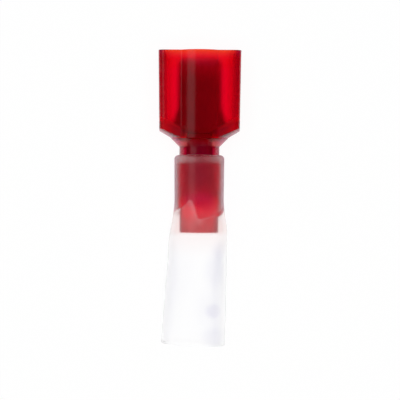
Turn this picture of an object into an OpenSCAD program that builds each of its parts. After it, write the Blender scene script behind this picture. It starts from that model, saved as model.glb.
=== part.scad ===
// Fully insulated male spade terminal with a heat-shrink sleeve.
// The axis runs from the wire end (-Y) to the open hood (+Y). The part lies at rest on z = 0,
// with its blade level. Each piece is drawn upright along its own axis, with z = 0 at the top
// of the neck, and is then laid down.

/* [Hood] */
// Width of the hood across its mouth
hood_width = 11.9; // [10.4:0.1:15]
// Thickness of the flat hood
hood_thickness = 6.3; // [5.6:0.05:7.2]
// Rounding of the hood's long edges
hood_corner = 0.9; // [0.5:0.05:1.2]
// Diameter of the round rib that runs along the middle of both faces
rib_d = 8.2; // [7.6:0.1:10]
// Fillet between the rib and the flat faces
rib_fillet = 0.5; // [0.3:0.05:0.7]
// Length of the round rib, from the mouth to the neck cone
hood_length = 12.62; // [11.5:0.02:18]
// Wall of the hood
hood_wall = 0.8; // [0.5:0.05:1]
// Rounding of the cavity's long edges
cavity_corner = 1.9; // [1:0.05:2.2]
// Lean of the hood's narrow sides, for release from the mould (degrees)
side_draft = 0.85; // [0.2:0.05:1]
// Slope of the shoulders, which are turned about the axis (degrees)
shoulder_slope = 30.5; // [20:0.5:35]
// Distance by which the shoulders' foot lies inside the rib and above the cone's edge
shoulder_foot = 0.05; // [0.02:0.01:0.2]
// Thickness of the sloping floor under the cavity
floor_thickness = 1.4; // [1:0.05:2]
// Thickness of the level floor round the terminal
floor_web = 0.67; // [0.5:0.01:1.2]
// Width of the lead-in bevel inside the mouth
mouth_bevel = 0.4; // [0.1:0.05:0.45]
// Depth of the lead-in bevel inside the mouth
mouth_bevel_depth = 1.2; // [0.4:0.05:1.6]

/* [Neck and sleeve] */
// Diameter of the neck below the hood
neck_d = 5.8; // [5.2:0.1:6.6]
// Diameter of the sleeve at the wire end
sleeve_end_d = 5.56; // [5.1:0.02:5.8]
// Length of the neck and sleeve
sleeve_length = 12.4; // [10:0.1:18]
// Slope of the cone between the neck and the hood (degrees)
cone_slope = 45; // [35:1:60]
// Bore for the wire's insulation
entry_d = 4.1; // [3.4:0.1:4.3]
// Length of the funnel from the insulation bore to the crimp barrel
funnel_length = 1.1; // [0.6:0.1:2]
// Width of the bevel at the wire entry
entry_bevel = 0.3; // [0.1:0.05:0.4]

/* [Terminal] */
// Thickness of the sheet that the terminal is folded from
sheet = 0.4; // [0.3:0.05:0.5]
// Width of the blade
blade_width = 6.35; // [4.75:0.05:6.6]
// Length of the blade from its tip to the stop wings
blade_length = 7.15; // [6:0.05:8]
// Radius of the folded edges of the blade
fold_r = 0.5; // [0.45:0.05:0.8]
// Width across the stop wings
wing_width = 7.9; // [7:0.1:8.6]
// Height of the slanted top of the stop wings
wing_slant = 2.2; // [1:0.1:2.6]
// Height of the stop wings' straight sides
wing_side = 0.5; // [0.2:0.05:0.8]
// Corner cut at the blade's tip, across the blade
tip_corner_w = 0.9; // [0.4:0.05:1.4]
// Corner cut at the blade's tip, along the blade
tip_corner_h = 0.45; // [0.2:0.05:1]
// Length of the lead-in bevels at the tip
tip_bevel = 0.9; // [0.4:0.05:1.4]
// Thickness left at the tip
tip_thickness = 0.4; // [0.2:0.05:0.5]
// Bore of the crimp barrel
barrel_bore = 1.7; // [1.3:0.05:2]
// Length of the crimp barrel below the level floor
barrel_length = 8.2; // [6:0.1:9]
// Height of the barrel's slanted front above the level floor
barrel_front = 0.9; // [0.5:0.05:1.5]
// Slope of the barrel's slanted front (degrees)
barrel_scarf = 50; // [35:1:60]
// Depth of the barrel's closed front below the level floor
front_depth = 0.9; // [0.5:0.05:1.5]
// Gap of the butt seam along the back of the blade and the barrel
seam_gap = 0.08; // [0.04:0.01:0.15]

/* [Heat-shrink tube] */
// Length of the tube
tube_length = 27.5; // [22:0.1:36]
// Bare neck left above the tube
tube_setback = 1.2; // [0.8:0.1:2]
// Wall of the tube where it has shrunk on the sleeve
tube_wall = 0.72; // [0.5:0.02:0.9]
// Wall of the tube at its wide free end
free_wall = 0.56; // [0.4:0.02:0.8]
// Outer width of the free end
free_width = 9.2; // [8.4:0.1:10.5]
// Outer depth of the free end, before its underside flattens where the part lies on it
free_depth = 8.9; // [8.4:0.1:10.5]
// Rounding at the edges of that flat
rest_blend = 0.2; // [0.1:0.05:0.4]
// Sideways lean of the free length (degrees)
free_lean = 2.4; // [0:0.1:4]
// Height above the sleeve's end at which the lean starts
lean_lead = 2; // [0:0.1:3]
// Length over which the lean sets in
lean_length = 3; // [1:0.1:6]
// Slant of the cut at the free end (degrees)
cut_slant = 2.5; // [0:0.1:5]
// Length of sleeve end that the tube has already left
loose_length = 5; // [2:0.1:7]
// Length over which the tube opens
flare_length = 7; // [3:0.1:9]
// Share of the opening that is reached within that length
flare_share = 0.72; // [0.3:0.01:0.9]
// Rounding of the tube's upper lip
lip_round = 0.6; // [0.3:0.05:0.7]

/* [Fits] */
// Gap between the crimp barrel and its bore
barrel_clearance = 0.02; // [0.01:0.01:0.05]
// Gap between the stop wings and the floor
seat_clearance = 0.02; // [0.01:0.01:0.05]
// Gap between the tube and the sleeve
tube_clearance = 0.02; // [0.01:0.01:0.05]

/* [Hidden] */
$fn = 96;

// Sides of the tube's section
tube_sides = 48;
// Steps round the tube's upper lip
lip_steps = 4;
// Steps along the gripped, opening and free lengths of the tube
grip_steps = 3;
flare_steps = 9;
free_steps = 8;
// How far cutting solids reach past the faces they cut
over = 1;

rib_r = rib_d / 2;
cavity_width = hood_width - 2 * hood_wall;
cavity_depth = hood_thickness - 2 * hood_wall;
cavity_r = min(cavity_corner, cavity_depth / 2 - 0.1);
neck_r = neck_d / 2;
cone_top = (rib_r - neck_r) * tan(cone_slope);
mouth = cone_top + hood_length;
sleeve_end = -sleeve_length;
sleeve_end_r = sleeve_end_d / 2;

shoulder_r = rib_r - shoulder_foot;
shoulder_base = cone_top + shoulder_foot;
level_floor = cone_top + floor_web;
// Height of the sloping floor above the shoulder, measured along the axis
floor_rise = floor_thickness / cos(shoulder_slope);

blade_t = 2 * sheet;
barrel_r = barrel_bore / 2 + sheet;
barrel_end = level_floor - barrel_length;
barrel_top = level_floor + barrel_front;
entry_top = barrel_end - barrel_clearance;
seat = level_floor + seat_clearance;
wing_top = slope_floor(wing_width / 2) + seat_clearance + wing_side;
blade_root = wing_top + wing_slant;
blade_tip = blade_root + blade_length;

tube_top = -tube_setback;
tube_end = tube_top - tube_length;
flare_top = sleeve_end + loose_length;
flare_end = flare_top - flare_length;
// Keeps the flat sides of the tube's section clear of the round sleeve
flat_factor = 1 / cos(180 / tube_sides);

axis_shift = -(mouth + tube_end) / 2;
// The part lies on its rib, clear of the gripped length of the tube
axis_height = max(rib_r, neck_r + tube_clearance + tube_wall + rest_blend);

// Height of the cavity's sloping floor at a distance from the axis
function slope_floor(x) = shoulder_base + (x - shoulder_r) * tan(shoulder_slope) + floor_rise;

// Distance from the axis at which the sloping floor reaches a height
function level_reach(z) = shoulder_r + (z - shoulder_base - floor_rise) / tan(shoulder_slope);

// Smooth step from 0 to 1
function ease(t) = let (u = min(max(t, 0), 1)) u * u * (3 - 2 * u);

// Lays an upright piece down, mouth towards +Y, at its resting height
module lay() {
    translate([0, axis_shift, axis_height])
        rotate([-90, 0, 0])
            children();
}

// Rectangle with round corners, centred
module rounded_rectangle(width, depth, corner) {
    square([width - 2 * corner, depth], center = true);
    square([width, depth - 2 * corner], center = true);
    for (x = [-1, 1], y = [-1, 1])
        translate([x * (width / 2 - corner), y * (depth / 2 - corner)])
            circle(corner);
}

// Flat hood body that narrows from its mouth: two leaning halves, which overlap inside the rib
module drafted_panel(width, depth, corner) {
    half = width / 2 + over;
    for (side = [-1, 1])
        translate([side * width / 2, 0, mouth])
            rotate([0, side * side_draft, 0])
                translate([-side * half / 2, 0, -2 * mouth])
                    linear_extrude(height = 3 * mouth)
                        rounded_rectangle(half, depth, corner);
}

// Everything below the shoulders, turned about the axis
module below_shoulders() {
    reach = 2 * hood_width;
    rotate_extrude()
        polygon([
            [0, -3 * mouth],
            [reach, -3 * mouth],
            [reach, shoulder_base + (reach - shoulder_r) * tan(shoulder_slope)],
            [shoulder_r, shoulder_base],
            [0, shoulder_base]
        ]);
}

// Round body, turned about the axis: sleeve, neck, cone and rib
module round_body() {
    rotate_extrude()
        polygon([
            [0, sleeve_end],
            [sleeve_end_r, sleeve_end],
            [neck_r, 0],
            [rib_r, cone_top],
            [rib_r, mouth + over],
            [0, mouth + over]
        ]);
}

// Fillets along both sides of the rib. Each sinks slightly into the faces that it joins.
module rib_fillets() {
    reach = rib_fillet * 0.985;
    high = hood_thickness / 2 + reach;
    out = sqrt(pow(rib_r + reach, 2) - pow(high, 2));
    for (x = [-out, out], y = [-high, high])
        translate([0, 0, shoulder_base - over])
            linear_extrude(height = mouth - shoulder_base + 2 * over)
                difference() {
                    polygon([[0, 0], [x, 0], [x, y]]);
                    translate([x, y])
                        circle(rib_fillet);
                }
}

// Outside of the housing: flat hood on turned shoulders, with the round body through it
module housing_outside() {
    difference() {
        union() {
            difference() {
                union() {
                    drafted_panel(hood_width, hood_thickness, hood_corner);
                    rib_fillets();
                }
                below_shoulders();
            }
            round_body();
        }
        translate([-hood_width, -hood_width, mouth])
            cube([2 * hood_width, 2 * hood_width, 3 * mouth]);
    }
}

// Inside of the hood, with its sloping and level floors
module hood_cavity() {
    side = hood_width;
    high = mouth + over;
    outline = [
        [-level_reach(level_floor), level_floor],
        [level_reach(level_floor), level_floor],
        [side, slope_floor(side)],
        [side, high],
        [-side, high],
        [-side, slope_floor(side)]
    ];
    intersection() {
        union() {
            drafted_panel(cavity_width, cavity_depth, cavity_r);
            cylinder(h = 2 * mouth, r = rib_r - hood_wall);
        }
        rotate([90, 0, 0])
            linear_extrude(height = 2 * hood_width, center = true)
                polygon(outline);
    }
}

// Side view of the mouth's lead-in bevel over an opening of a given width
module bevel_outline(width) {
    grow = over * mouth_bevel / mouth_bevel_depth;
    low = width / 2 - grow;
    top = width / 2 + mouth_bevel + grow;
    polygon([
        [-low, mouth - mouth_bevel_depth - over],
        [low, mouth - mouth_bevel_depth - over],
        [top, mouth + over],
        [-top, mouth + over]
    ]);
}

// Round part of the mouth's lead-in bevel, over an opening of a given radius
module bevel_cone(radius) {
    grow = over * mouth_bevel / mouth_bevel_depth;
    translate([0, 0, mouth - mouth_bevel_depth - over])
        cylinder(
            h = mouth_bevel_depth + 2 * over,
            r1 = radius - grow,
            r2 = radius + mouth_bevel + grow
        );
}

// Lead-in bevel inside the mouth: the cavity's flat sides and round edges, and the rib.
// The round edges stand slightly outside the flat sides, so that they cross cleanly.
module mouth_lead_in() {
    proud = 0.02;
    corner_x = cavity_width / 2 - cavity_r - proud;
    corner_y = cavity_depth / 2 - cavity_r - proud;
    rotate([90, 0, 0])
        linear_extrude(height = 2 * corner_y, center = true)
            bevel_outline(cavity_width - proud);
    rotate([90, 0, 90])
        linear_extrude(height = 2 * corner_x, center = true)
            bevel_outline(cavity_depth - proud);
    for (x = [-corner_x, corner_x], y = [-corner_y, corner_y])
        translate([x, y, 0])
            bevel_cone(cavity_r + 2 * proud);
    bevel_cone(rib_r - hood_wall);
}

// Bore, turned about the axis, from the level floor through the neck to the wire entry
module sleeve_bore() {
    bore_r = barrel_r + barrel_clearance;
    entry_r = entry_d / 2;
    rotate_extrude()
        polygon([
            [0, sleeve_end - over],
            [entry_r + entry_bevel + over, sleeve_end - over],
            [entry_r, sleeve_end + entry_bevel],
            [entry_r, entry_top - funnel_length],
            [bore_r, entry_top],
            [bore_r, level_floor + over],
            [0, level_floor + over]
        ]);
}

// Nylon housing, moulded in one piece
module housing() {
    color([0.62, 0.02, 0.06, 0.85])
        lay()
            difference() {
                housing_outside();
                hood_cavity();
                mouth_lead_in();
                sleeve_bore();
            }
}

// Section of what the fold rounds off along one edge of the blade
module fold_rounding() {
    difference() {
        translate([0, -blade_t])
            square([fold_r + over, 2 * blade_t]);
        circle(fold_r);
    }
}

// Doubled sheet: blade with a bevelled tip and folded edges, and stop wings that seat on the floor
module folded_plate() {
    half = blade_width / 2;
    wing = wing_width / 2;
    level = level_reach(level_floor);
    outline = [
        [level, seat],
        [wing, slope_floor(wing) + seat_clearance],
        [wing, wing_top],
        [half, blade_root],
        [half, blade_tip - tip_corner_h],
        [half - tip_corner_w, blade_tip],
        [-half + tip_corner_w, blade_tip],
        [-half, blade_tip - tip_corner_h],
        [-half, blade_root],
        [-wing, wing_top],
        [-wing, slope_floor(wing) + seat_clearance],
        [-level, seat]
    ];
    // Rise of the tip's bevels for each millimetre across
    bevel_rise = 2 * tip_bevel / (blade_t - tip_thickness);
    peak = blade_tip + bevel_rise * tip_thickness / 2;
    side_view = [
        [-blade_t, seat - over],
        [blade_t, seat - over],
        [blade_t, peak - bevel_rise * blade_t],
        [0, peak],
        [-blade_t, peak - bevel_rise * blade_t]
    ];
    difference() {
        intersection() {
            rotate([90, 0, 0])
                linear_extrude(height = blade_t, center = true)
                    polygon(outline);
            rotate([90, 0, 90])
                linear_extrude(height = 2 * wing_width, center = true)
                    polygon(side_view);
        }
        for (side = [-1, 1])
            translate([side * (half - fold_r), 0, blade_root + sheet])
                rotate([0, 0, 90 - 90 * side])
                    linear_extrude(height = blade_length)
                        fold_rounding();
    }
}

// Rolled crimp barrel. Its front is closed and squeezed flat into the blade.
module crimp_barrel() {
    reach = 4 * barrel_r;
    difference() {
        translate([0, 0, barrel_end])
            cylinder(h = barrel_top - barrel_end, r = barrel_r);
        translate([0, 0, barrel_end - over])
            cylinder(h = level_floor - front_depth - barrel_end + over, r = barrel_bore / 2);
        for (side = [0, 180])
            rotate([0, 0, side])
                translate([-reach / 2, sheet / 2, barrel_top])
                    rotate([-barrel_scarf, 0, 0])
                        cube([reach, reach, reach]);
    }
}

// Terminal folded and rolled from one sheet, with one butt seam along its back
module blade_terminal() {
    color([0.72, 0.71, 0.68])
        lay()
            difference() {
                union() {
                    folded_plate();
                    crimp_barrel();
                }
                translate([-seam_gap / 2, 0, barrel_end - over])
                    cube([seam_gap, barrel_r + over, blade_tip - barrel_end + 2 * over]);
            }
}

// Share of the tube's opening that is reached at a height
function opening(z) =
    flare_share * ease((flare_top - z) / flare_length)
    + (1 - flare_share) * ease((flare_end - z) / (flare_end - tube_end));

// Radius of the tube's bore where it grips the sleeve
function grip_r(z) =
    let (along = min(max(-z / sleeve_length, 0), 1))
    (neck_r + (sleeve_end_r - neck_r) * along + tube_clearance) * flat_factor;

// Half sizes of the tube's outside and bore, across the width or the depth
function bore_half(z, size) = grip_r(z) + (size / 2 - free_wall - grip_r(tube_end)) * opening(z);
function wall_at(z) = tube_wall + (free_wall - tube_wall) * opening(z);

// Sideways shift of the tube's middle
function drift(z) =
    let (free = max(sleeve_end + lean_lead - z, 0))
    -tan(free_lean) * free * ease(free / lean_length);

// The lower of two values, with a smooth change from one to the other
function soft_min(a, b) =
    let (near = max(rest_blend - abs(a - b), 0))
    min(a, b) - near * near / (4 * rest_blend);

// One ring of points. The cut's slant fades out above the free end, and the underside is flat
// where the tube would reach below the surface it lies on.
function tube_ring(z, add) =
    let (
        half_x = bore_half(z, free_width) + add,
        half_y = bore_half(z, free_depth) + add,
        lowest = axis_height - wall_at(z) + add,
        slant = tan(cut_slant) * ease((flare_end - z) / (flare_end - tube_end))
    )
    [
        for (i = [0:tube_sides - 1])
            let (
                turn = 360 * (i + 0.5) / tube_sides,
                x = half_x * cos(turn)
            )
            [drift(z) + x, soft_min(half_y * sin(turn), lowest), z + slant * (half_x - x)]
    ];

// Heights of the rings, from the lip to the free end
function tube_heights() = concat(
    [for (i = [1:grip_steps]) tube_top - lip_round + (flare_top - tube_top + lip_round) * i / grip_steps],
    [for (i = [1:flare_steps]) flare_top + (flare_end - flare_top) * i / flare_steps],
    [for (i = [1:free_steps]) flare_end + (tube_end - flare_end) * i / free_steps]
);

// Closed chain of rings: over the rounded lip, down the outside and back up the bore
function tube_rings() =
    let (
        heights = tube_heights(),
        count = len(heights)
    )
    concat(
        [
            for (i = [0:lip_steps])
                let (turn = 90 * i / lip_steps)
                tube_ring(
                    tube_top - lip_round * (1 - cos(turn)),
                    tube_wall - lip_round * (1 - sin(turn))
                )
        ],
        [for (z = heights) tube_ring(z, wall_at(z))],
        [for (i = [0:count - 1]) tube_ring(heights[count - 1 - i], 0)],
        [tube_ring(tube_top - lip_round, 0)],
        [tube_ring(tube_top, 0)]
    );

// Heat-shrink tube, gripped on the sleeve and still wide at its free end
module heat_shrink_tube() {
    rings = tube_rings();
    count = len(rings);
    faces = [
        for (k = [0:count - 1], i = [0:tube_sides - 1])
            let (
                next_k = (k + 1) % count,
                next_i = (i + 1) % tube_sides,
                a = k * tube_sides + i,
                b = k * tube_sides + next_i,
                c = next_k * tube_sides + next_i,
                d = next_k * tube_sides + i
            )
            each [[a, b, c], [a, c, d]]
    ];
    color([0.93, 0.93, 0.95, 0.5])
        lay()
            polyhedron(points = [for (ring = rings) each ring], faces = faces);
}

housing();
blade_terminal();
heat_shrink_tube();
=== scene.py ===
import math

import bpy
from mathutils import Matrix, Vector


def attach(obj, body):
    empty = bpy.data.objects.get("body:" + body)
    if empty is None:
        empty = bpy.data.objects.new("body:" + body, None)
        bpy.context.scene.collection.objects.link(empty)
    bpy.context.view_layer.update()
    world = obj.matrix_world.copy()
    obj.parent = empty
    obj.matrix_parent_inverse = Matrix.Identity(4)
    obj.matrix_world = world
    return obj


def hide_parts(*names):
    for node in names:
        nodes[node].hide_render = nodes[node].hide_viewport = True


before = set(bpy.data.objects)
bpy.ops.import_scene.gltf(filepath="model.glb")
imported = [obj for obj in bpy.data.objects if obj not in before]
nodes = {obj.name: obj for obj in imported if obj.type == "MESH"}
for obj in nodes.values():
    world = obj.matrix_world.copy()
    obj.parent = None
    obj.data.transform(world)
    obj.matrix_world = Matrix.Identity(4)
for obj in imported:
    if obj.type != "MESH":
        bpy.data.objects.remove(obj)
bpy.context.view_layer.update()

MM = 0.001
scene = bpy.context.scene

# Sizes of the source that the tube and the nylon's inside follow, in mm
AXIS_SHIFT = 7.44
AXIS_HEIGHT = 4.1
NECK_R = 2.9
SLEEVE_END_R = 2.78
SLEEVE_LENGTH = 12.4
TUBE_CLEARANCE = 0.02
TUBE_LENGTH = 27.5
TUBE_TOP = -1.2
TUBE_WALL = 0.72
FREE_WALL = 0.56
FREE_WIDTH = 9.2
FREE_DEPTH = 8.9
REST_BLEND = 0.2
FREE_LEAN = 2.4
LEAN_LEAD = 2.0
LEAN_LENGTH = 3.0
CUT_SLANT = 2.5
LOOSE_LENGTH = 5.0
FLARE_LENGTH = 7.0
FLARE_SHARE = 0.72
LIP_ROUND = 0.6

TUBE_END = TUBE_TOP - TUBE_LENGTH
SLEEVE_END = -SLEEVE_LENGTH
FLARE_TOP = SLEEVE_END + LOOSE_LENGTH
FLARE_END = FLARE_TOP - FLARE_LENGTH

WHITE = (1, 1, 1, 1)
BLACK = (0, 0, 0, 1)
# Tint that takes away nearly all of a reflection
NO_SHINE = (0.05, 0.05, 0.05, 1)


# Helpers for node trees


class Tree:
    """Short calls for building one node tree."""

    # Values between which most of a noise lies
    NOISE_LOW = 0.3
    NOISE_HIGH = 0.7

    def __init__(self, tree):
        self.tree = tree
        tree.nodes.clear()

    def add(self, kind, **settings):
        node = self.tree.nodes.new(kind)
        for key, value in settings.items():
            setattr(node, key, value)
        return node

    def link(self, source, target):
        self.tree.links.new(source, target)

    def feed(self, value, socket):
        """Sets a number or colour on a socket, or links an output to it."""
        if isinstance(value, (int, float, tuple)):
            socket.default_value = value
        else:
            self.link(value, socket)

    def math(self, operation, *values):
        """A Math node on sockets or numbers; returns its output."""
        node = self.add("ShaderNodeMath", operation=operation)
        for place, value in enumerate(values):
            self.feed(value, node.inputs[place])
        return node.outputs[0]

    def times(self, first, *others):
        """The product of sockets or numbers."""
        for other in others:
            first = self.math("MULTIPLY", first, other)
        return first

    def most(self, first, *others):
        """The largest of sockets or numbers."""
        for other in others:
            first = self.math("MAXIMUM", first, other)
        return first

    def remap(self, value, low, high, to_low, to_high, smooth=False):
        node = self.add("ShaderNodeMapRange")
        if smooth:
            node.interpolation_type = "SMOOTHSTEP"
        set_inputs(node, From_Min=low, From_Max=high, To_Min=to_low, To_Max=to_high)
        self.link(value, node.inputs["Value"])
        return node.outputs[0]

    def rise(self, value, span, top=1.0, smooth=True):
        """A mask that rises from 0 over a span of lengths in mm."""
        return self.remap(value, span[0] * MM, span[1] * MM, 0.0, top, smooth)

    def fall(self, value, span, foot=0.0, smooth=True):
        """A mask that falls from 1 over a span of lengths in mm."""
        return self.remap(value, span[0] * MM, span[1] * MM, 1.0, foot, smooth)

    def mix(self, factor, a, b, kind="RGBA"):
        """A mix of two colours, or of two numbers where the kind is FLOAT."""
        node = self.add("ShaderNodeMix", data_type=kind)
        self.link(factor, node.inputs["Factor"])
        self.feed(a, node.inputs["A"])
        self.feed(b, node.inputs["B"])
        return node.outputs["Result"]

    def place(self, coordinates="Object"):
        """The three coordinates of a place, by default in the object's own metres."""
        parts = self.add("ShaderNodeSeparateXYZ")
        self.link(self.add("ShaderNodeTexCoord").outputs[coordinates], parts.inputs[0])
        return parts.outputs["X"], parts.outputs["Y"], parts.outputs["Z"]

    def noise(self, scale, detail=3.0, stretch=None):
        """Noise in the object's own metres, stretched along the part where asked."""
        place = self.add("ShaderNodeTexCoord").outputs["Object"]
        if stretch:
            mapping = self.add("ShaderNodeMapping")
            set_inputs(mapping, Scale=stretch)
            self.link(place, mapping.inputs["Vector"])
            place = mapping.outputs[0]
        node = self.add("ShaderNodeTexNoise")
        set_inputs(node, Scale=scale, Detail=detail, Roughness=0.55)
        self.link(place, node.inputs["Vector"])
        return node.outputs["Fac"]

    def vary(self, noise, low, high):
        """Turns a noise into values between two bounds."""
        return self.remap(noise, self.NOISE_LOW, self.NOISE_HIGH, low, high)

    def ramp(self, value, points):
        """A colour ramp through the given places and colours; returns its colour."""
        node = self.add("ShaderNodeValToRGB")
        elements = node.color_ramp.elements
        while len(elements) < len(points):
            elements.new(1.0)
        for element, (place, colour) in zip(elements, points):
            element.position = place
            element.color = colour
        self.link(value, node.inputs["Fac"])
        return node.outputs[0]

    def bump(self, height, strength, distance, shader):
        node = self.add("ShaderNodeBump")
        set_inputs(node, Strength=strength, Distance=distance)
        self.link(height, node.inputs["Height"])
        self.link(node.outputs[0], shader.inputs["Normal"])


def set_inputs(node, **values):
    """Sets constants on a node's own sockets, by name with underscores for spaces."""
    for key, value in values.items():
        node.inputs[key.replace("_", " ")].default_value = value


def new_material(name):
    material = bpy.data.materials.new(name)
    material.use_nodes = True
    t = Tree(material.node_tree)
    out = t.add("ShaderNodeOutputMaterial")
    shader = t.add("ShaderNodeBsdfPrincipled")
    return material, t, out, shader


def pass_lamps(t, shader, out, tint):
    """Lets light from lamps through the surface, so that it reaches what is inside."""
    clear = t.add("ShaderNodeBsdfTransparent")
    set_inputs(clear, Color=tint)
    rays = t.add("ShaderNodeLightPath")
    mix = t.add("ShaderNodeMixShader")
    t.link(rays.outputs["Is Shadow Ray"], mix.inputs[0])
    t.link(shader.outputs[0], mix.inputs[1])
    t.link(clear.outputs[0], mix.inputs[2])
    t.link(mix.outputs[0], out.inputs["Surface"])


# Red nylon: limits between its inner and outer walls, in mm
CAVITY_HALF_X = 5.4
CAVITY_HALF_Z = 2.75
RIB_INSIDE_R = 3.7
FLOOR_HEIGHT = 9.25
FLOOR_SLOPE_START = 2.34
SHOULDER_START_R = 4.05
SHOULDER_SLOPE = 0.589
BORE_R = 2.4
BORE_TOP = 9.2

# Spans in mm over which the masks of its zones rise or fall
LEDGE_HEIGHT = (9.5, 10.0)
LEDGE_X = (2.2, 2.8)
FLANK_X = (1.4, 1.95)
FLANK_TOP = (0.2, 1.2)
FLANK_END = (-3.4, -1.6)
LOW_X = (1.5, 2.2)
LOW_Y = (8.6, 8.9)
LOW_Z = (2.6, 2.9)
THICK_HEIGHT = (9.5, 10.0)
THICK_X = (3.4, 5.2)
THICK_OUTER = 0.5
SOFT_HEIGHT = (9.8, 11.0)
FROST_HEIGHT = (8.71, 8.76)
FROST_R = (3.1, 3.9)
FROST_Z = (1.7, 2.7)
SIDE_X = (4.9, 5.6)
SIDE_Y = (11.2, 12.0)
SIDE_MOST = 0.9
UNDER_TUBE = (6.0, 6.3)
WET_FROM = (-3.0, -2.0)
CONE_TOP_FROM = (8.40, 8.56)
CONE_TOP_TO = (8.63, 8.7)

# Colour of the bore's wall, from the wire entry at 0 to the level floor at 1
CORE_SPAN = (-5.0, 10.0)
CORE = (
    (0.0, (0.6, 0.04, 0.12, 1)),
    (0.1, (0.7, 0.04, 0.18, 1)),
    (0.2, (0.9, 0.04, 0.32, 1)),
    (0.36, (0.58, 0.03, 0.48, 1)),
    (0.51, (0.4, 0.025, 0.46, 1)),
    (0.66, (0.4, 0.02, 0.46, 1)),
    (0.8, (0.34, 0.01, 0.28, 1)),
    (0.88, (0.3, 0.01, 0.28, 1)),
)
# Tint of the clear walls: deep in the neck, orange at the thin rim
CLEAR_SPAN = (4.0, 22.0)
CLEAR = (
    (0.0, (0.95, 0.1, 0.42, 1)),
    (0.1, (0.95, 0.1, 0.42, 1)),
    (0.135, (0.46, 0.07, 0.44, 1)),
    (0.195, (0.46, 0.07, 0.44, 1)),
    (0.22, (1.0, 0.16, 0.58, 1)),
    (0.25, (1.0, 0.16, 0.58, 1)),
    (0.27, (0.58, 0.06, 0.26, 1)),
    (0.295, (0.7, 0.06, 0.26, 1)),
    (0.31, (0.9, 0.05, 0.22, 1)),
    (0.34, (1.0, 0.06, 0.26, 1)),
    (0.8, (1.0, 0.06, 0.25, 1)),
    (0.9, (1.0, 0.08, 0.14, 1)),
    (0.96, (1.0, 0.22, 0.05, 1)),
)
# Bright red painted light on the wide bore's flanks, lifting the shade of the corner at the
# barrel's end
FLANK_PAINTED_LIGHT = (1.0, 0.1, 0.3, 1)
# Painted shade on the thick floor zone, for the blade's shadow and light scattered away
THICK_PAINTED_SHADE = (0.44, 0.03, 0.32, 1)
# Painted shade, violet, on the narrow sides seen on edge
SIDE_PAINTED_SHADE = (0.33, 0.03, 0.24, 1)
LEDGE_COLOUR = (0.46, 0.02, 0.1, 1)
FROST_COLOUR = (0.62, 0.09, 0.19, 1)
NYLON_VOLUME = (0.98, 0.04, 0.54, 1)
NYLON_DENSITY = 1250.0
NYLON_SHADOW = (0.97, 0.3, 0.4, 1)
NYLON_IOR = 1.5
INNER_IOR = 1.28

# Shares of dull surface and least roughness of its zones
LEDGE_DULL = 0.68
FROST_DULL = 0.5
UNDER_ROUGH = 0.5
SOFT_ROUGH = 0.55


def above_slope(t, y, across, start):
    """Height over a surface that is level up to a start in mm and then slopes as the shoulders."""
    beyond = t.most(t.math("SUBTRACT", across, start * MM), 0.0)
    return t.math("SUBTRACT", y, t.times(beyond, SHOULDER_SLOPE))


def nylon_zones(t):
    """Masks of the housing's zones by name, with y as the place along the part."""
    x, y, z = t.place()
    x = t.math("ABSOLUTE", x)
    z = t.math("ABSOLUTE", t.math("SUBTRACT", z, AXIS_HEIGHT * MM))
    r = t.math("SQRT", t.math("ADD", t.times(x, x), t.times(z, z)))
    # Hood: inside its flat walls or its round rib, above the sloping floor
    between_sides = t.math("LESS_THAN", x, CAVITY_HALF_X * MM)
    between_faces = t.math("LESS_THAN", z, CAVITY_HALF_Z * MM)
    in_rib = t.math("LESS_THAN", r, RIB_INSIDE_R * MM)
    within = t.most(t.times(between_sides, between_faces), in_rib)
    over = above_slope(t, y, x, FLOOR_SLOPE_START)
    hood = t.times(within, t.math("GREATER_THAN", over, FLOOR_HEIGHT * MM))
    ledge = t.times(hood, t.fall(over, LEDGE_HEIGHT), t.rise(x, LEDGE_X))
    # Neck and sleeve: inside the wall round the bore, with the flanks of its wide end, which are
    # painted bright red as painted light that lifts the shade of the corner below the barrel's end
    below = t.math("LESS_THAN", y, BORE_TOP * MM)
    bore = t.times(t.math("LESS_THAN", r, BORE_R * MM), below)
    inside = t.most(hood, bore)
    flank_painted_light = t.times(t.rise(x, FLANK_X), t.fall(y, FLANK_TOP), t.rise(y, FLANK_END))
    # Outside of the thick floor, between the turned shoulders and the cavity, where painted shade
    # darkens the colour for the blade's shadow and light scattered away
    level = above_slope(t, y, r, SHOULDER_START_R)
    outside = t.math("SUBTRACT", 1.0, inside)
    low = t.times(outside, t.rise(x, LOW_X), t.rise(y, LOW_Y), t.rise(z, LOW_Z))
    thick_floor_shade = t.times(t.fall(level, THICK_HEIGHT), low, t.fall(x, THICK_X, THICK_OUTER))
    soft = t.times(t.fall(level, SOFT_HEIGHT), low)
    # The turned shoulders and the cone's sides, which are frosted
    on_shoulder = t.fall(level, FROST_HEIGHT, smooth=False)
    frost = t.times(on_shoulder, t.rise(r, FROST_R, smooth=False), t.fall(z, FROST_Z))
    # Outside of the narrow sides, where the wall is seen on edge and is painted darker and violet:
    # painted shade
    side = t.times(t.rise(x, SIDE_X, SIDE_MOST), t.rise(y, SIDE_Y))
    return {
        "inside": inside,
        "bore": bore,
        "flank_painted_light": flank_painted_light,
        "ledge": ledge,
        "thick_floor_shade": thick_floor_shade,
        "soft": soft,
        "frost": frost,
        "side": side,
        "y": y,
    }


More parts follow.
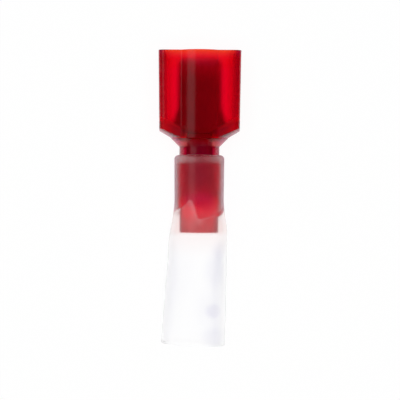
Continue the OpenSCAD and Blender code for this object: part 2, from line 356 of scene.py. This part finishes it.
def make_nylon():
    material, t, out, shader = new_material("red_nylon_clear")
    set_inputs(shader, IOR=NYLON_IOR, Diffuse_Roughness=1.0)
    pass_lamps(t, shader, out, NYLON_SHADOW)
    volume = t.add("ShaderNodeVolumeAbsorption")
    set_inputs(volume, Color=NYLON_VOLUME, Density=NYLON_DENSITY)
    t.link(volume.outputs[0], out.inputs["Volume"])
    zones = nylon_zones(t)
    inside, bore, ledge, frost = (zones[name] for name in ("inside", "bore", "ledge", "frost"))
    y = zones["y"]
    # A lower index inside keeps the cavity's round corners from reflecting all light
    t.link(t.remap(inside, 0.0, 1.0, NYLON_IOR, INNER_IOR), shader.inputs["IOR"])
    # The bore is dull: dark along the barrel that fills it, brighter towards the wire entry
    core = t.ramp(t.rise(y, CORE_SPAN, smooth=False), CORE)
    # Painted light: bright red on the flanks of the wide bore, lifting the shade in the corner at
    # the barrel's end
    core = t.mix(zones["flank_painted_light"], core, FLANK_PAINTED_LIGHT)
    clear = t.ramp(t.rise(y, CLEAR_SPAN, smooth=False), CLEAR)
    # Painted shade: the thick floor zone is darkened for the blade's shadow and light scattered
    # away
    clear = t.mix(zones["thick_floor_shade"], clear, THICK_PAINTED_SHADE)
    # Painted shade: the narrow sides seen on edge are darker and violet
    clear = t.mix(zones["side"], clear, SIDE_PAINTED_SHADE)
    # The cavity's floor and the shoulders are half dull
    colour = t.mix(bore, clear, core)
    colour = t.mix(ledge, colour, LEDGE_COLOUR)
    colour = t.mix(frost, colour, FROST_COLOUR)
    t.link(colour, shader.inputs["Base Color"])
    solid = t.most(bore, t.times(ledge, LEDGE_DULL), t.times(frost, FROST_DULL))
    t.link(t.math("SUBTRACT", 1.0, solid), shader.inputs["Transmission Weight"])
    # Polished outside with faint flow lines, matt inside
    flow = t.noise(1.0, 3.0, stretch=(900, 160, 900))
    polish = t.vary(flow, 0.17, 0.24)
    matt = t.vary(flow, 0.8, 0.88)
    rough = t.mix(inside, polish, matt, kind="FLOAT")
    # Dull under the tube and near the shoulders
    under = t.fall(y, UNDER_TUBE, smooth=False)
    rough = t.most(rough, t.times(under, UNDER_ROUGH), t.times(zones["soft"], SOFT_ROUGH))
    t.link(rough, shader.inputs["Roughness"])
    # No reflection where adhesive wets the sleeve, nor of the tube's lip at the cone's top
    wet = t.times(under, t.rise(y, WET_FROM, smooth=False))
    cone_top = t.rise(y, CONE_TOP_FROM, smooth=False)
    cone_top = t.times(cone_top, t.fall(y, CONE_TOP_TO, smooth=False))
    shine = t.ramp(t.most(wet, cone_top), ((0.0, WHITE), (1.0, NO_SHINE)))
    t.link(shine, shader.inputs["Specular Tint"])
    t.bump(flow, 0.08, 0.00004, shader)
    return material


# Tinned brass
TIN_DARK = (0.44, 0.43, 0.4, 1)
TIN_PALE = (0.6, 0.59, 0.56, 1)
# Paler colour painted on the blade's tip, painted light of the mouth
TIP_PAINTED_LIGHT = (0.95, 0.93, 0.9, 1)
TIP_Y = (16.5, 20.0)


def make_metal():
    material, t, out, shader = new_material("tinned_brass_satin")
    set_inputs(shader, Metallic=0.76)
    t.link(shader.outputs[0], out.inputs["Surface"])
    lines = t.noise(1.0, 4.0, stretch=(6000, 250, 6000))
    clouds = t.noise(700.0, 4.0)
    tin = t.ramp(clouds, ((t.NOISE_LOW, TIN_DARK), (t.NOISE_HIGH, TIN_PALE)))
    # Painted light: the tip is painted paler, for the light of the mouth that falls on it
    _, y, _ = t.place()
    tin = t.mix(t.rise(y, TIP_Y), tin, TIP_PAINTED_LIGHT)
    t.link(tin, shader.inputs["Base Color"])
    t.link(t.vary(lines, 0.35, 0.5), shader.inputs["Roughness"])
    t.bump(lines, 0.15, 0.00003, shader)
    return material


# Clear tube
TUBE_TINT = (0.99, 0.97, 0.98, 1)
# Pink painted at the gripped tube's rims, painted red light of the sleeve
TUBE_RIM_PAINTED_LIGHT = (1.0, 0.52, 0.66, 1)
TUBE_CLEAR = (0.995, 0.994, 0.997, 1)
TUBE_MILK = (0.87, 0.865, 0.92, 1)
# Painted red light of the sleeve on the free tube round it
TUBE_SLEEVE_PAINTED_LIGHT = (0.98, 0.9, 0.89, 1)
TURNED_FROM = 0.4
TURNED_TO = 0.82
TURNED_HAZE = 0.7


def read_mark(t, name):
    return t.add("ShaderNodeAttribute", attribute_name=name).outputs["Fac"]


def make_gripped():
    """Tube over the sleeve: clear where the adhesive has wetted it, hazy where it has not."""
    material, t, out, shader = new_material("clear_tube_gripped")
    set_inputs(shader, IOR=1.48)
    pass_lamps(t, shader, out, (0.97, 0.97, 0.98, 1))
    grain = t.noise(900.0, 4.0, stretch=(1, 0.5, 1))
    cloudy = t.times(read_mark(t, "haze"), t.vary(grain, 0.8, 1.2))
    # Seen on edge, the lining looks milkier, and its colour turns pink: painted red light of the
    # sleeve
    turned = t.add("ShaderNodeLayerWeight")
    set_inputs(turned, Blend=0.5)
    edge = t.remap(turned.outputs["Facing"], TURNED_FROM, TURNED_TO, 0.0, 1.0, smooth=True)
    cloudy = t.most(cloudy, t.times(edge, TURNED_HAZE))
    t.link(t.ramp(edge, ((0.0, TUBE_TINT), (1.0, TUBE_RIM_PAINTED_LIGHT))), shader.inputs["Base Color"])
    t.link(t.remap(cloudy, 0.0, 1.0, 0.997, 0.6), shader.inputs["Transmission Weight"])
    t.link(t.remap(cloudy, 0.0, 0.4, 0.2, 0.42), shader.inputs["Roughness"])
    t.bump(grain, 0.05, 0.00006, shader)
    return material


def make_bonded():
    """Inside of the tube where adhesive joins it to the sleeve, so that hardly a surface shows."""
    material, t, out, shader = new_material("clear_tube_bonded")
    set_inputs(shader, Base_Color=TUBE_TINT, IOR=1.22, Transmission_Weight=1.0)
    set_inputs(shader, Specular_Tint=NO_SHINE)
    pass_lamps(t, shader, out, (0.98, 0.97, 0.98, 1))
    t.link(t.vary(t.noise(900.0, 4.0), 0.4, 0.5), shader.inputs["Roughness"])
    return material


def make_free():
    """Free end of the tube: thin, clear and faintly milky, with clouds of adhesive inside."""
    material, t, out, shader = new_material("clear_tube_free")
    set_inputs(shader, IOR=1.055)
    pass_lamps(t, shader, out, (0.98, 0.98, 0.985, 1))
    grain = t.noise(700.0, 4.0, stretch=(1, 0.4, 1))
    cloudy = t.times(read_mark(t, "haze"), t.vary(grain, 0.75, 1.25))
    milk = t.ramp(cloudy, ((0.0, TUBE_CLEAR), (1.0, TUBE_MILK)))
    # Painted light: red light from the sleeve is painted into the tube's colour round it
    t.link(t.mix(read_mark(t, "sleeve_painted_light"), milk, TUBE_SLEEVE_PAINTED_LIGHT), shader.inputs["Base Color"])
    t.link(t.remap(cloudy, 0.0, 1.0, 0.98, 0.85), shader.inputs["Transmission Weight"])
    t.link(t.vary(grain, 0.38, 0.5), shader.inputs["Roughness"])
    t.bump(grain, 0.05, 0.00006, shader)
    return material


# Housing and blade keep their shape and take a better material


def dress(node, material):
    piece = nodes[node]
    piece.data.materials.clear()
    piece.data.materials.append(material)
    for face in piece.data.polygons:
        face.use_smooth = True


dress("housing", make_nylon())
dress("blade_terminal", make_metal())

# Heat-shrink tube: the source's form, drawn finely, with its wetted and milky zones
SIDES = 144
LIP_STEPS = 8
RINGS = 150
CUT_ROUND = 0.06
DENT_DEPTH = 0.03
DENT_LEAD = 2
DENT_LENGTH = 6
FILL_BLEND = 0.4
# Places of its three materials on the mesh
GRIPPED = 0
BONDED = 1
FREE = 2


def ease(t):
    u = min(max(t, 0.0), 1.0)
    return u * u * (3 - 2 * u)


def opening(v):
    flare = ease((FLARE_TOP - v) / FLARE_LENGTH)
    rest = ease((FLARE_END - v) / (FLARE_END - TUBE_END))
    return FLARE_SHARE * flare + (1 - FLARE_SHARE) * rest


def grip_r(v):
    along = min(max(-v / SLEEVE_LENGTH, 0.0), 1.0)
    return NECK_R + (SLEEVE_END_R - NECK_R) * along + TUBE_CLEARANCE


def bore_half(v, size):
    return grip_r(v) + (size / 2 - FREE_WALL - grip_r(TUBE_END)) * opening(v)


def wall_at(v):
    return TUBE_WALL + (FREE_WALL - TUBE_WALL) * opening(v)


def drift(v):
    free = max(SLEEVE_END + LEAN_LEAD - v, 0.0)
    return -math.tan(math.radians(FREE_LEAN)) * free * ease(free / LEAN_LENGTH)


def soft_min(a, b):
    near = max(REST_BLEND - abs(a - b), 0.0)
    return min(a, b) - near * near / (4 * REST_BLEND)


def ripple(v, turn):
    """Slight dents of the free end, inward only."""
    free = ease((FLARE_TOP - DENT_LEAD - v) / DENT_LENGTH)
    wave = math.sin(3 * turn + 0.45 * v) * math.sin(0.62 * v + 1.3 * turn + 0.8)
    fine = math.sin(5 * turn - 0.9 * v + 2.1)
    return DENT_DEPTH * free * (1 + 0.7 * wave + 0.3 * fine)


def tube_point(v, add, turn, dent, fill):
    """A point of the tube at a height and an angle, so far outside its bore."""
    half_x = bore_half(v, FREE_WIDTH) + add - dent
    half_y = bore_half(v, FREE_DEPTH) + add - dent
    half_x += (grip_r(v) - half_x) * fill
    half_y += (grip_r(v) - half_y) * fill
    lowest = AXIS_HEIGHT - wall_at(v) + add
    cut = ease((FLARE_END - v) / (FLARE_END - TUBE_END))
    slant = math.tan(math.radians(CUT_SLANT)) * cut
    x = half_x * math.cos(turn)
    y = soft_min(half_y * math.sin(turn), lowest)
    return drift(v) + x, y, v + slant * (half_x - x)


def angle_of(turn):
    """Angle round the tube in degrees, from its right side over the top."""
    return (-math.degrees(turn)) % 360


# Where the wetted zone ends, by the angle round the tube
WET_EDGE = (
    (0, -8.8),
    (42, -9.9),
    (90, -10.5),
    (112, -7.8),
    (124, -8.4),
    (135, -8.9),
    (180, -9.4),
    (230, -9.9),
    (270, -9.1),
    (320, -9.5),
    (360, -8.8),
)


def wet_edge(turn):
    """Height of the wetted zone's edge at an angle, smooth between the points above."""
    angle = angle_of(turn)
    for (a0, v0), (a1, v1) in zip(WET_EDGE, WET_EDGE[1:]):
        if angle <= a1:
            return v0 + (v1 - v0) * ease((angle - a0) / (a1 - a0))
    return WET_EDGE[-1][1]


# Clouds of adhesive in the free end: angle, height along the tube, half sizes, strength
CLOUDS = (
    (52, -23.6, 16, 0.9, 1.0),
    (48, -17.8, 24, 2.4, 0.5),
    (38, -14.9, 20, 1.2, 0.6),
    (45, -27.4, 26, 1.3, 0.6),
    (150, -20.0, 18, 7.5, 0.32),
    (40, -21.6, 15, 6.5, 0.35),
    (235, -19.0, 30, 4.0, 0.15),
    (300, -24.0, 26, 3.0, 0.3),
)
CLOUD_REACH = 1.5

# Haze of the wetted zone: the least, at its lower edge, and at the lip, which is clear in front
LEAST_HAZE = 0.02
EDGE_HAZE = 0.12
EDGE_CRISP = 0.3
EDGE_SOFTER = 2.7
EDGE_UNDER = 0.4
EDGE_TURN = 112
EDGE_SPREAD = 25
LIP_HAZE = 0.13
LIP_SIDE_HAZE = 0.6
LIP_FRONT = 84
LIP_SPREAD = 80
LIP_DEPTH = 1.6
LIP_BLEND = 1.0
LIP_CLEARED = 0.9
LIP_CLEAR_DEPTH = 0.4
LIP_CLEAR_BLEND = 0.3


def wetted_haze(v, angle, below):
    # Crisp edge of the wetted zone on the left, soft on the right
    if angle < 180:
        soft = EDGE_CRISP + EDGE_SOFTER * ease((EDGE_TURN - angle) / EDGE_SPREAD)
    else:
        soft = EDGE_UNDER
    aside = ease(abs(angle - LIP_FRONT) / LIP_SPREAD)
    lip = (LIP_HAZE + LIP_SIDE_HAZE * aside) * ease((v - TUBE_TOP + LIP_DEPTH) / LIP_BLEND)
    front = ease((v - TUBE_TOP + LIP_CLEAR_DEPTH) / LIP_CLEAR_BLEND)
    lip *= 1 - LIP_CLEARED * (1 - aside) * front
    return max(LEAST_HAZE, lip, EDGE_HAZE * ease(1 + below / soft))


# Haze round the loose end of the sleeve, and a pale streak that runs down from its top
LOOSE_MARGIN = 0.2
LOOSE_HAZE = 0.2
LOOSE_MORE = 0.08
LOOSE_FRONT = 106
LOOSE_SPREAD = 28
STREAK_HAZE = 0.3
STREAK_TOP = -7.8
STREAK_LENGTH = 2.9
STREAK_ANGLE = 112
STREAK_TURN = 22
STREAK_HALF = 0.9
MM_PER_DEGREE = 0.063


def loose_haze(v, angle):
    along = min(max((STREAK_TOP - v) / STREAK_LENGTH, 0.0), 1.0)
    across = (angle - STREAK_ANGLE + STREAK_TURN * along) * MM_PER_DEGREE
    off = math.hypot(across, v - STREAK_TOP + STREAK_LENGTH * along)
    patch = LOOSE_MORE * ease(1.0 - abs(angle - LOOSE_FRONT) / LOOSE_SPREAD)
    streak = STREAK_HAZE * ease(1.0 - off / STREAK_HALF)
    return LOOSE_HAZE + max(patch, streak)


def haze_at(v, turn):
    """How milky the tube is at a place, from 0 to 1."""
    angle = angle_of(turn)
    below = wet_edge(turn) - v
    if below < 0:
        return wetted_haze(v, angle, below)
    total = 0.0
    for a, height, wide, tall, strength in CLOUDS:
        off = (angle - a + 180) % 360 - 180
        total += strength * ease(CLOUD_REACH - math.hypot(off / wide, (v - height) / tall))
    if v > SLEEVE_END - LOOSE_MARGIN:
        total = max(total, loose_haze(v, angle))
    return min(total, 1.0)


# Painted light: red light of the sleeve, painted into the tube round it: all along it, and less
# below its end
WARM_DEPTH = 1.0
WARM_BLEND = 1.4
GLOW = 0.3
GLOW_DEPTH = 4.0
GLOW_BLEND = 3.5


def sleeve_painted_light_at(v):
    glow = GLOW * ease((v - SLEEVE_END + GLOW_DEPTH) / GLOW_BLEND)
    return max(glow, ease((v - SLEEVE_END + WARM_DEPTH) / WARM_BLEND))


def tube_rings():
    """Height, distance from the bore and side of each ring, down the outside and up the inside."""
    lip_end = TUBE_TOP - LIP_ROUND
    heights = [lip_end + (TUBE_END - lip_end) * (i + 1) / RINGS for i in range(RINGS)]
    rings = []
    for i in range(LIP_STEPS + 1):
        a = math.radians(90 * i / LIP_STEPS)
        height = TUBE_TOP - LIP_ROUND * (1 - math.cos(a))
        rings.append((height, TUBE_WALL - LIP_ROUND * (1 - math.sin(a)), True))
    rings += [(v, wall_at(v), True) for v in heights[:-1]]
    # A small rounding at the cut end
    end_wall = wall_at(TUBE_END)
    rings.append((TUBE_END + CUT_ROUND, end_wall, True))
    rings.append((TUBE_END, end_wall - CUT_ROUND, True))
    rings.append((TUBE_END, CUT_ROUND, False))
    rings.append((TUBE_END + CUT_ROUND, 0.0, False))
    rings += [(v, 0.0, False) for v in reversed(heights[:-1])]
    rings += [(lip_end, 0.0, False), (TUBE_TOP, 0.0, False)]
    return rings


def make_tube(gripped, bonded, free):
    rings = tube_rings()
    verts = []
    haze = []
    sleeve_painted_light = []
    marks = []
    for v, add, outer in rings:
        for i in range(SIDES):
            turn = 2 * math.pi * (i + 0.5) / SIDES
            # Adhesive fills the gap to the sleeve in the wetted zone
            fill = 0.0 if outer else ease(1 + (v - wet_edge(turn)) / FILL_BLEND)
            x, y, u = tube_point(v, add, turn, ripple(v, turn), fill)
            verts.append((x * MM, (u + AXIS_SHIFT) * MM, (AXIS_HEIGHT - y) * MM))
            haze.append(haze_at(v, turn))
            sleeve_painted_light.append(sleeve_painted_light_at(v))
            marks.append((v, turn, outer))
    faces = []
    slots = []
    total = len(rings)
    for k in range(total):
        for i in range(SIDES):
            n = (i + 1) % SIDES
            m = (k + 1) % total
            face = (k * SIDES + i, m * SIDES + i, m * SIDES + n, k * SIDES + n)
            faces.append(face)
            v, turn, _ = marks[face[0]]
            inner = not all(marks[c][2] for c in face)
            if v < wet_edge(turn):
                slots.append(FREE)
            else:
                slots.append(BONDED if inner else GRIPPED)
    mesh = bpy.data.meshes.new("heat_shrink_clear")
    mesh.from_pydata(verts, [], faces)
    mesh.update()
    mesh.attributes.new("haze", "FLOAT", "POINT").data.foreach_set("value", haze)
    mesh.attributes.new("sleeve_painted_light", "FLOAT", "POINT").data.foreach_set("value", sleeve_painted_light)
    for material in (gripped, bonded, free):
        mesh.materials.append(material)
    mesh.polygons.foreach_set("material_index", slots)
    mesh.polygons.foreach_set("use_smooth", [True] * len(faces))
    mesh.update()
    tube = bpy.data.objects.new("heat_shrink_clear", mesh)
    scene.collection.objects.link(tube)
    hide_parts("heat_shrink_tube")
    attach(tube, "root")


make_tube(make_gripped(), make_bonded(), make_free())

# Floor: half its width and its drop in metres, and spans beside and before the object in mm
FLOOR_HALF = 3.0
FLOOR_DROP = 0.00005
FLOOR_COLOUR = (0.95, 0.95, 0.95, 1)
FLOOR_CAMERA_SHARE = 0.93
FLOOR_BESIDE = (12, 40)
FLOOR_BEFORE = (30, 60)
FLOOR_FAR = 0.1


def make_floor():
    mesh = bpy.data.meshes.new("floor")
    r = FLOOR_HALF
    mesh.from_pydata([(-r, -r, 0), (r, -r, 0), (r, r, 0), (-r, r, 0)], [], [(0, 1, 2, 3)])
    floor = bpy.data.objects.new("floor", mesh)
    scene.collection.objects.link(floor)
    floor.location.z = -FLOOR_DROP
    material = bpy.data.materials.new("floor_white")
    material.use_nodes = True
    t = Tree(material.node_tree)
    out = t.add("ShaderNodeOutputMaterial")
    paper = t.add("ShaderNodeBsdfDiffuse")
    glow = t.add("ShaderNodeEmission")
    set_inputs(glow, Color=WHITE, Strength=1.0)
    rays = t.add("ShaderNodeLightPath")
    # The clear pieces see the floor white, and gloss sees it lit, both near the object only
    x, y, _ = t.place()
    beside = t.fall(t.math("ABSOLUTE", x), FLOOR_BESIDE, FLOOR_FAR)
    before = t.fall(t.math("ABSOLUTE", y), FLOOR_BEFORE, FLOOR_FAR)
    far = t.math("SUBTRACT", 1.0, t.times(beside, before))
    far = t.times(far, rays.outputs["Is Glossy Ray"])
    t.link(t.ramp(far, ((0.0, FLOOR_COLOUR), (1.0, BLACK))), paper.inputs["Color"])
    through = t.times(rays.outputs["Is Transmission Ray"], before)
    seen = t.most(t.times(rays.outputs["Is Camera Ray"], FLOOR_CAMERA_SHARE), through)
    mix = t.add("ShaderNodeMixShader")
    t.link(seen, mix.inputs[0])
    t.link(paper.outputs[0], mix.inputs[1])
    t.link(glow.outputs[0], mix.inputs[2])
    t.link(mix.outputs[0], out.inputs["Surface"])
    mesh.materials.append(material)


make_floor()

# World: white walls low down, seen through the clear pieces, under a dark ceiling
SKY_LEVEL = 0.01
WALL_TOP = 0.4
END_FROM = 0.75
END_TO = 0.95
END_LEVEL = 0.05


def make_world():
    world = bpy.data.worlds.new("studio")
    scene.world = world
    world.use_nodes = True
    w = Tree(world.node_tree)
    sky = w.add("ShaderNodeBackground")
    set_inputs(sky, Color=WHITE)
    w.link(sky.outputs[0], w.add("ShaderNodeOutputWorld").inputs["Surface"])
    _, y, z = w.place("Generated")
    walls = w.remap(z, 0.0, WALL_TOP, 1.0, SKY_LEVEL, smooth=True)
    ends = w.remap(w.math("ABSOLUTE", y), END_FROM, END_TO, 1.0, END_LEVEL, smooth=True)
    rays = w.add("ShaderNodeLightPath")
    through = rays.outputs["Is Transmission Ray"]
    level = w.mix(through, SKY_LEVEL, w.times(walls, ends), kind="FLOAT")
    w.link(level, sky.inputs["Strength"])


make_world()


def area_lamp(name, place, target, size, power, glossy=True):
    data = bpy.data.lights.new(name, "AREA")
    data.shape = "RECTANGLE"
    data.size, data.size_y = size
    data.energy = power
    lamp = bpy.data.objects.new(name, data)
    scene.collection.objects.link(lamp)
    lamp.location = place
    lamp.rotation_mode = "QUATERNION"
    aim = Vector(target) - Vector(place)
    lamp.rotation_quaternion = aim.to_track_quat("-Z", "Y")
    lamp.visible_camera = False
    lamp.visible_glossy = glossy
    lamp.visible_transmission = glossy


# Soft light from above that fills without a highlight, and a strip on the left that draws one
area_lamp(
    "fill", place=(0, 0, 0.6), target=(0, 0, 0), size=(0.5, 0.5), power=4.0, glossy=False
)
area_lamp(
    "strip", place=(-0.2904, 0, 0.407), target=(0, 0, 0.004), size=(0.6, 0.29), power=0.29
)

# Camera straight above, turned a little as in the photograph, in mm and degrees
SENSOR = 36
CAMERA_DISTANCE = 230
VIEW_WIDTH = 58
CAMERA_X = 0.13
CAMERA_Y = -0.245
CAMERA_TURN = 0.34

camera_data = bpy.data.cameras.new("camera")
camera_data.sensor_width = SENSOR
camera_data.lens = SENSOR * CAMERA_DISTANCE / VIEW_WIDTH
camera_data.clip_start = 0.01
camera_data.clip_end = 20
camera = bpy.data.objects.new("camera", camera_data)
scene.collection.objects.link(camera)
camera.location = (CAMERA_X * MM, CAMERA_Y * MM, (AXIS_HEIGHT + CAMERA_DISTANCE) * MM)
camera.rotation_euler = (0, 0, math.radians(CAMERA_TURN))
scene.camera = camera

scene.view_settings.view_transform = "Standard"
